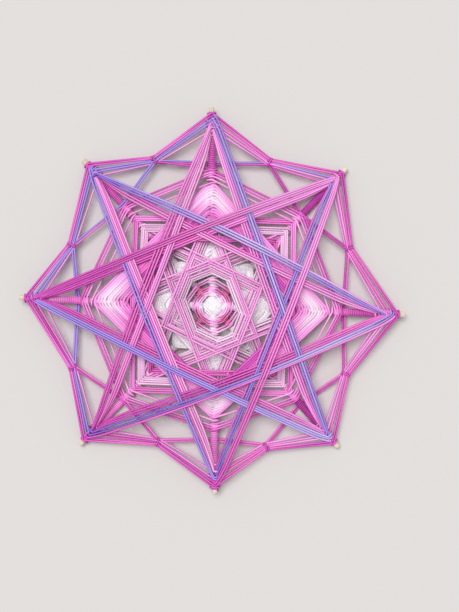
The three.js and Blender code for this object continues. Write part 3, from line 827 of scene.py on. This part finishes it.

# %% [markdown]
# The square on the upright arms is wound closely over a coil round each arm and makes the four kites. From
# round to round it runs from deep pink through a pale band to a pink edge. Within each of the first rounds
# it is paler near the arms and deeper between them: the deeper far spans are partly the yarn's own colour
# and partly painted shade, where they lie low under the star.

# %% Upright square
KITE_END = 43.6
RIDGE_MORE = 0.1
KITE_SHOULDER = 1.8
KITE_BREADTH = 1.42
KITE_NEAR = ["deep", "pink", "pink", "blush", "pale", "milk", "milk", "milk", "pale", "blush", "pink"]
# Far spans: partly the yarn's own colour and partly painted shade, deepest in the first rounds.
KITE_FAR_WITH_SHADE = ["magenta"] * 3 + ["deep"] * 4 + ["pink"] * 4
kite_rounds = []
for near, far in zip(KITE_NEAR, KITE_FAR_WITH_SHADE):
    kite_rounds.append([near, near, far, far, far, far, near, near])
upright_square = []
for name in UPRIGHT:
    ridge = coil(name, kite_inner[name] - RIDGE_MORE, from_tip(name, KITE_END - RIDGE_MORE))
    upright_square.append(dyed(ridge, KITE_NEAR))
kite_outer = from_tips(UPRIGHT, KITE_END)
upright_square += spiral(UPRIGHT, kite_inner, kite_outer, kite_rounds, False, KITE_SHOULDER)
build_yarn("upright_square_yarn", upright_square, yarn, "upright_square", KITE_BREADTH)

# %% [markdown]
# From the kites on, the yarn climbs each arm in close turns, which the ring band and the rim will cross.
# Every wrap is one coil with its own run of colours; on the northeast and southeast arms it is a magenta
# darkened as painted shade.

# %% Arm wraps
WRAP_START = 43.4
WRAP_STOP = 18.0
WRAP_COLOURS = {
    "north": ["deep", "magenta", "deep"],
    # Northeast and southeast: magenta darkened as painted shade.
    "northeast": ["painted_shade_magenta"],
    "east": ["deep", "magenta"],
    "southeast": ["painted_shade_magenta"],
    "south": ["pink", "deep"],
    "southwest": ["pink", "deep"],
    "west": ["pink", "deep", "pink"],
    "northwest": ["deep", "magenta"],
}
for name in CLOCKWISE:
    wrap = dyed(coil(name, from_tip(name, WRAP_START), from_tip(name, WRAP_STOP)), WRAP_COLOURS[name])
    build_yarn(f"{name}_arm_wrap_yarn", [wrap], yarn, f"{name}_arm_wrap")

# %% [markdown]
# Outside the squares a single light turn runs round all eight arms: it leaves each arm close to the ring
# band and reaches the next one further in. The ring band itself is three turns side by side.

# %% Thin ring and ring band
THIN_LEAVE = 41.8
THIN_REACH = 43.6
BAND_START = 40.3
BAND_END = 35.8
BAND_SHOULDER = 1.4


def next_arm(name):
    """The arm that follows clockwise."""
    return CLOCKWISE[(CLOCKWISE.index(name) + 1) % len(CLOCKWISE)]


thin_ring = []
for name in CLOCKWISE:
    after = next_arm(name)
    path = strand(name, from_tip(name, THIN_LEAVE), after, from_tip(after, THIN_REACH))
    thin_ring.append(dyed(path, ["blush", "pink"]))
build_yarn("thin_ring_yarn", thin_ring, yarn, "thin_ring")
band_rounds = [["pink"], ["deep", "pink"], ["magenta", "deep"]]
band_start = from_tips(CLOCKWISE, BAND_START)
band = spiral(CLOCKWISE, band_start, from_tips(CLOCKWISE, BAND_END), band_rounds, False, BAND_SHOULDER)
build_yarn("ring_band_yarn", band, yarn, "ring_band")

# %% [markdown]
# The rim runs from tip to tip in five strands: three close together, a gap and a pair near the tips. A tie
# pulls them in at the middle of each side, so each place of a tie is given by its angle clockwise from
# north and its distance from the crossing.

# %% Rim places
RIM_INSETS = [13.2, 10.4, 8.5, 5.2, 3.6]
BUNDLE_PITCH = 0.95
BUNDLE_SHIFT = 0.9
BUNDLE_STEP = 0.45
BUNDLE_LIFT = 0.6
TIE_PLACES = {
    "north": (21.9, 87.6),
    "northeast": (67.4, 83.6),
    "east": (117.6, 84.2),
    "southeast": (159.9, 85.0),
    "south": (202.8, 83.0),
    "southwest": (247.1, 86.7),
    "west": (293.9, 87.4),
    "northwest": (338.5, 89.3),
}
RIM_DYES = {
    "north": (["pink", "pink", "deep"], ["deep", "pink", "violet"]),
    "northeast": (["pink", "pink", "deep"], ["pink", "deep", "deep"]),
    "east": (["pink", "pink", "pink"], ["pink", "pink", "deep"]),
    "southeast": (["pink", "pink", "pink"], ["pink", "deep", "deep"]),
    "south": (["pink", "pink", "magenta"], ["pink", "deep", "magenta"]),
    "southwest": (["pink", "violet", "violet"], ["pink", "deep", "magenta"]),
    "west": (["pink", "violet", "violet"], ["blush", "violet", "violet"]),
    "northwest": (["pink", "violet", "violet"], ["blush", "violet", "violet"]),
}


def tie_point(name):
    """Plan point of the tie after an arm, from its angle clockwise from north and its distance."""
    angle, distance = TIE_PLACES[name]
    turn = math.radians(angle)
    return arms["north"]["start"] + distance * np.array([math.sin(turn), math.cos(turn)])


def outwards(name):
    """Plan direction from the crossing to the tie after an arm."""
    reach = tie_point(name) - arms["north"]["start"]
    return reach / np.linalg.norm(reach)


def tie_height(name):
    """Height of a bundle: the mean of the two arms beside it, a stick's radius and a little more."""
    return (arms[name]["height"] + arms[next_arm(name)]["height"]) / 2 + STICK_RADIUS + BUNDLE_LIFT


print("bundles:", len(TIE_PLACES))

# %% [markdown]
# A rim strand is two tight spans that meet in the bundle under the tie, where the strands lie half on each
# other. On the west side two of the three inner strands catch further out. Turns round each tip come first
# and carry them all.

# %% Rim strands
MIDDLE_ROW = 2
CLOSE_ROWS = (1, 2)
CLOSE_SHIFT = 1.6
CLOSE_BEGINS = ["south", "southwest"]
CLOSE_ENDS = ["southwest", "west", "northwest"]


def rim_strand(name, row):
    """From the back of an arm to the bundle and on to the next arm; rows are spread across the bundle."""
    after = next_arm(name)
    first_catch = from_tip(name, RIM_INSETS[row])
    last_catch = from_tip(after, RIM_INSETS[row])
    if row in CLOSE_ROWS:
        first_catch += CLOSE_SHIFT * (name in CLOSE_BEGINS)
        last_catch += CLOSE_SHIFT * (name in CLOSE_ENDS)
    begin = on_arm(name, first_catch + LEAD)
    end = on_arm(after, last_catch - LEAD)
    pinch = tie_point(name) + outwards(name) * (BUNDLE_SHIFT + (row - MIDDLE_ROW) * BUNDLE_PITCH)
    first = lay(straight(begin, pinch))
    second = lay(straight(pinch, end))
    level = tie_height(name) + (BUNDLE_STEP if row % 2 else -BUNDLE_STEP)
    first[:, 2] = np.linspace(first[0, 2], level, len(first))
    second[:, 2] = np.linspace(level, second[-1, 2], len(second))
    middle = np.concatenate([thinned(first)[:-1], thinned(second)])
    return joined(name, first_catch, middle, after, last_catch)


INNER_ROWS = 3
TIP_COIL_START = 17.6
TIP_COIL_ENDS = {**same(CLOCKWISE, 6.6), "south": 2.0}
rim = []
for name in CLOCKWISE:
    tip_coil = coil(name, from_tip(name, TIP_COIL_START), from_tip(name, TIP_COIL_ENDS[name]))
    # On the northeast and southeast tips the coil starts in the wrap's magenta darkened as painted shade.
    rim.append(dyed(tip_coil, WRAP_COLOURS[name][-1:] + ["magenta"]))
for row in range(INNER_ROWS):
    for name in CLOCKWISE:
        before, behind = RIM_DYES[name]
        rim.append(dyed(rim_strand(name, row), [before[row], before[row], behind[row], behind[row]]))
print("rim strands so far:", len(rim))

# %% [markdown]
# The tie winding hooks each bundle with two turns and runs on to the next one. On its way it passes behind
# the upright arms and the southeast one, and in front of the other three. One loose end joins the north arm
# to the bundle beside it.

# %% Tie winding
TIE_PASS = {"north": 82.0, "northeast": 72.5, "east": 75.0, "southeast": 75.4,
            "south": 76.5, "southwest": 74.2, "west": 77.7, "northwest": 77.7}
TIE_BEHIND = UPRIGHT + ["southeast"]
TIE_CLEAR = STICK_RADIUS + 2.2 * YARN_RADIUS
TIE_SHIFTS = (0.66, -0.66)
TIE_POINTS = 24
TIE_TURNS = 1.9
TIE_TURN_POINTS = 40
TIE_RUN = 2.2
TIE_HALF_WIDTH = 2.45
TIE_HALF_DEPTH = 1.3
LOOSE_START = 78.5
TIE_DYES = {
    "north": (["violet"], ["magenta"]),
    "northeast": (["magenta"], ["magenta"]),
    "east": (["deep"], ["magenta"]),
    "southeast": (["magenta"], ["deep"]),
    "south": (["deep"], ["deep"]),
    "southwest": (["magenta"], ["deep"]),
    "west": (["violet"], ["violet"]),
    "northwest": (["violet"], ["deep", "deep", "violet", "violet"]),
}


def tie_strand(name, shift):
    """From the bundle before an arm, past the arm, to the bundle after it, shifted outwards all the way."""
    before = CLOCKWISE[CLOCKWISE.index(name) - 1]
    level = arms[name]["height"] + (-TIE_CLEAR if name in TIE_BEHIND else TIE_CLEAR)
    step = shift * arms[name]["along"]
    begin = np.append(tie_point(before) + step, tie_height(before))
    middle = np.append(on_arm(name, TIE_PASS[name] + shift), level)
    end = np.append(tie_point(name) + step, tie_height(name))
    share = np.linspace(0.0, 1.0, TIE_POINTS)[:, None]
    points = np.concatenate([begin + (middle - begin) * share, (middle + (end - middle) * share)[1:]])
    points[:, 2] = softened(points[:, 2], SOFT_POINTS)
    return even(points, UP)


def tie_turns(name):
    """A short coil round a bundle: an ellipse across it that moves along the bundle's own direction."""
    after = next_arm(name)
    centre = tie_point(name) + BUNDLE_SHIFT * outwards(name)
    run = on_arm(after, from_tip(after, 0.0)) - on_arm(name, from_tip(name, 0.0))
    run = run / np.linalg.norm(run)
    out = np.array([-run[1], run[0]])
    angles = np.linspace(0.0, 2 * np.pi * TIE_TURNS, TIE_TURN_POINTS)
    place = (angles / angles[-1] - 0.5)[:, None] * TIE_RUN
    plan = centre + place * run + TIE_HALF_WIDTH * np.sin(angles)[:, None] * out
    points = np.column_stack([plan, tie_height(name) + TIE_HALF_DEPTH * np.cos(angles)])
    outward = np.column_stack([np.sin(angles)[:, None] * out, np.cos(angles)])
    return even(points, outward)


ties = []
for name in CLOCKWISE:
    for shift, dye in zip(TIE_SHIFTS, TIE_DYES[name]):
        ties.append(dyed(tie_strand(name, shift), dye))
    ties.append(dyed(tie_turns(name), ["magenta"]))
loose_end = lay(straight(on_arm("north", LOOSE_START), tie_point("northwest")))
north_front = arms["north"]["height"] + STICK_RADIUS
loose_end[:, 2] = np.linspace(north_front, tie_height("northwest"), len(loose_end))
ties.append(dyed(even(thinned(loose_end), UP), ["magenta"]))
build_yarn("tie_winding_yarn", ties, yarn, "tie_winding")

# %% [markdown]
# The main star also skips two arms. It is the part that people see first, so each of its eight spans is
# written down as a weaver's chart: how many strands, their colours from arm to arm, where the group
# starts and stops on both arms, and how far it bows outwards where crossing yarn holds it.

# %% Star chart
PINK_TO_MAGENTA = ["pink", "pink", "deep", "magenta"]
MAGENTA_TO_PINK = ["magenta", "magenta", "deep", "pink", "pink"]
DEEP_TO_MAGENTA = ["deep", "deep", "magenta", "magenta"]
VIOLET_TO_IRIS = ["violet", "lilac", "violet", "iris", "iris"]
EARLY_STAR = [
    ("north", "southeast", (99.8, 106.3), (83.5, 91.2), (-1.9, -1.3),
     [["blush", "pink"], ["pink"], ["pink", "deep"]]),
    ("southeast", "west", (92.8, 98.4), (92.5, 97.9), (0.3, 1.0), [["pink", "deep", "magenta"]] * 3),
    ("west", "northeast", (93.5, 98.4), (91.9, 97.4), (0.2, 0.7), [MAGENTA_TO_PINK] * 3),
    ("northeast", "south", (91.0, 91.0), (92.2, 92.2), (0.0, 0.0), [["deep", "pink", "magenta"]]),
    ("south", "northwest", (84.5, 95.2), (94.8, 103.5), (0.1, 0.5),
     [["blush", "blush", "pink"], ["pink", "deep"], ["blush", "pink"], ["deep", "pink"]]),
    ("northwest", "east", (90.4, 100.3), (86.4, 94.8), (-1.9, -2.8),
     [["deep", "blush", "pink"], ["deep", "pink", "pink"], ["magenta", "deep", "pink"]]),
    ("east", "southwest", (96.3, 100.8), (90.2, 95.6), (2.0, 3.0), [DEEP_TO_MAGENTA] * 3),
    ("southwest", "north", (85.7, 92.5), (92.0, 100.5), (-0.5, -0.9), [["deep", "pink", "blush"]] * 3),
]
LATE_STAR = [
    ("northeast", "south", (93.7, 98.2), (95.5, 99.6), (0.4, -0.2), [["violet", "violet", "iris"]] * 2),
    ("southwest", "north", (95.7, 99.6), (99.8, 105.1), (1.3, 2.8), [["magenta", "deep", "pink"]] * 3),
    ("north", "southeast", (107.4, 117.1), (93.9, 101.3), (0.0, -0.1),
     [["violet"], ["violet", "lilac", "violet"], ["violet"]]),
    ("south", "northwest", (98.2, 100.9), (106.7, 110.6), (0.6, 1.1), [["violet"]] * 2),
    ("southeast", "west", (101.6, 108.1), (100.6, 106.6), (1.1, 1.0), [["lilac", "violet", "violet"]] * 3),
    ("northwest", "east", (96.5, 102.7), (93.0, 98.4), (2.6, 3.4),
     [["iris", "violet", "lilac", "violet", "violet"]] * 2 + [["violet", "lilac", "pink"]]),
    ("east", "southwest", (103.0, 106.6), (98.8, 103.8), (3.4, 2.9), [VIOLET_TO_IRIS] * 2),
    ("east", "southwest", (109.7, 109.7), (107.9, 107.9), (2.4, 2.4), [["pink", "deep", "magenta"]]),
    ("west", "northeast", (100.7, 105.3), (100.0, 105.3), (0.8, 1.4), [MAGENTA_TO_PINK] * 3),
    ("northeast", "south", (101.4, 106.2), (102.8, 108.1), (0.9, 1.9), [PINK_TO_MAGENTA] * 3),
]
print("groups in the chart:", len(EARLY_STAR), "and", len(LATE_STAR))

# %% [markdown]
# The chart is wound in its order, first the pink groups and then the violet and magenta ones above them.
# The strands of a group go evenly from its first place to its last, give or take a hand's wobble, and at
# the crowded tips their ends are gathered.

# %% Main star
STAR_SHOULDER = 0.4
STAR_GATHER = 0.5
STAR_WOBBLE = 0.12
SQUARE_BACK = STAR_SHOULDER / math.tan(math.radians(22.5))


def charted(chart):
    """Strands of a chart in its order: both ends and the bow go evenly from the first strand to the last.
    The chart gives where the straight lines would cut the arms; running square across the stick, a strand
    catches further in by the shoulder over the tangent of a star's half angle."""
    strands = []
    for here, there, starts, stops, bows, dyes in chart:
        share = np.linspace(0.0, 1.0, len(dyes))
        begins = starts[0] + (starts[1] - starts[0]) * share + rng.normal(0.0, STAR_WOBBLE, len(dyes))
        ends = stops[0] + (stops[1] - stops[0]) * share + rng.normal(0.0, STAR_WOBBLE, len(dyes))
        bend = bows[0] + (bows[1] - bows[0]) * share
        for k, dye in enumerate(dyes):
            begin = begins[k] - SQUARE_BACK
            end = ends[k] - SQUARE_BACK
            path = strand(here, begin, there, end, bend[k], STAR_SHOULDER, STAR_GATHER)
            strands.append(dyed(path, dye))
    return strands


build_yarn("star_inner_yarn", charted(EARLY_STAR), yarn, "star_inner")
build_yarn("star_outer_yarn", charted(LATE_STAR), yarn, "star_outer")

# %% [markdown]
# The outermost pair of the rim is wound last of all, so it passes over the star at each tip.

# %% Outer rim pair
PAIR_DYES = [["magenta", "deep", "deep", "magenta"], ["magenta", "magenta", "deep", "magenta"]]
for row, dye in enumerate(PAIR_DYES, INNER_ROWS):
    for name in CLOCKWISE:
        rim.append(dyed(rim_strand(name, row), dye))
build_yarn("rim_winding_yarn", rim, yarn, "rim_winding")
print("highest yarn in mm:", round(pile.max(), 1))

# %% [markdown]
# The sticks are plain birch dowels, sawn and left bare. Only their tips show in front, but the back shows
# them whole, so they get a pale wood with long grain. The grain is a noise stretched along each stick,
# which needs its own turn for every stick.

# %% Dowel wood
WOOD_LIGHT = linear("#ece2d2")
WOOD_DARK = linear("#cdb798")
GRAIN_PER_MM = np.array([0.09, 1.8, 1.8])
GRAIN_DEPTH = 0.15


def bare_birch(name, turn):
    """Grain lines are a noise that changes 1.8 times per millimetre across the stick, slowly along it."""
    material, tree, output = empty_material(name)
    place = add_node(tree, "ShaderNodeTexCoord")
    turned = add_node(tree, "ShaderNodeMapping", {"vector_type": "TEXTURE"},
                      {0: place.outputs["Object"], "Rotation": (0.0, 0.0, math.radians(turn))})
    stretched = add_node(tree, VECTOR_MATH, {"operation": "MULTIPLY"},
                         {0: turned.outputs[0], 1: tuple(GRAIN_PER_MM / MM)})
    grain = add_node(tree, "ShaderNodeTexNoise", None,
                     {"Vector": stretched.outputs[0], "Scale": 1.0, "Detail": 4.0, "Roughness": 0.6})
    ramp = add_node(tree, "ShaderNodeValToRGB", None, {0: grain.outputs[0]})
    ramp.color_ramp.elements[0].position = 0.32
    ramp.color_ramp.elements[0].color = (*WOOD_DARK, 1.0)
    ramp.color_ramp.elements[1].position = 0.6
    ramp.color_ramp.elements[1].color = (*WOOD_LIGHT, 1.0)
    bump = add_node(tree, "ShaderNodeBump", None,
                    {"Strength": 0.4, "Distance": GRAIN_DEPTH * MM, "Height": grain.outputs[0]})
    surface = add_node(tree, SURFACE, None, {"Base Color": ramp.outputs[0], "Normal": bump.outputs[0]})
    surface.inputs["Roughness"].default_value = 0.7
    surface.inputs["Specular IOR Level"].default_value = 0.3
    tree.links.new(surface.outputs[0], output.inputs[0])
    return material


for stick, facts in STICKS.items():
    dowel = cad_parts[stick]
    dowel.data.materials.clear()
    dowel.data.materials.append(bare_birch(f"bare_birch_{stick}", facts[0]))
print("dowels:", len(STICKS))

# %% [markdown]
# The stage is a plain pale board, large enough to fill the view from any side. It is matte, so it mirrors
# nothing and keeps the part's soft shadow.

# %% Floor
FLOOR_HALF = 30.0
FLOOR_COLOUR = linear("#dbd8d5")
floor_mesh = bpy.data.meshes.new("floor")
corners = [(FLOOR_HALF * x, FLOOR_HALF * y, 0.0) for x, y in ((-1, -1), (1, -1), (1, 1), (-1, 1))]
floor_mesh.from_pydata(corners, [], [(0, 1, 2, 3)])
floor = add_object("floor", floor_mesh)
matte, matte_tree, matte_output = empty_material("pale_matte_board")
matte_look = {"Base Color": (*FLOOR_COLOUR, 1.0), "Roughness": 0.9, "Specular IOR Level": 0.1}
matte_surface = add_node(matte_tree, SURFACE, None, matte_look)
matte_tree.links.new(matte_surface.outputs[0], matte_output.inputs[0])
floor_mesh.materials.append(matte)
print("floor in metres:", 2 * FLOOR_HALF)

# %% [markdown]
# The light is soft: an even sky and one broad lamp from the upper left. Both together light a flat surface
# at about one, so that colours come out as they are written.

# %% Light
SKY_LEVEL = 0.45
LAMP_LEVEL = 2.1
LAMP_BREADTH = 35.0
LAMP_TILT = (-15.0, -11.0)
world = bpy.data.worlds.new("even_sky")
world.use_nodes = True
background = world.node_tree.nodes["Background"].inputs
background["Color"].default_value = (1.0, 1.0, 1.0, 1.0)
background["Strength"].default_value = SKY_LEVEL
bpy.context.scene.world = world
lamp_data = bpy.data.lights.new("broad_lamp", "SUN")
lamp_data.energy = LAMP_LEVEL
lamp_data.angle = math.radians(LAMP_BREADTH)
lamp = add_object("broad_lamp", lamp_data)
lamp.rotation_euler = (math.radians(LAMP_TILT[0]), math.radians(LAMP_TILT[1]), 0.0)
bpy.context.scene.view_settings.view_transform = "Standard"
print("sky level:", SKY_LEVEL, "lamp:", LAMP_LEVEL)
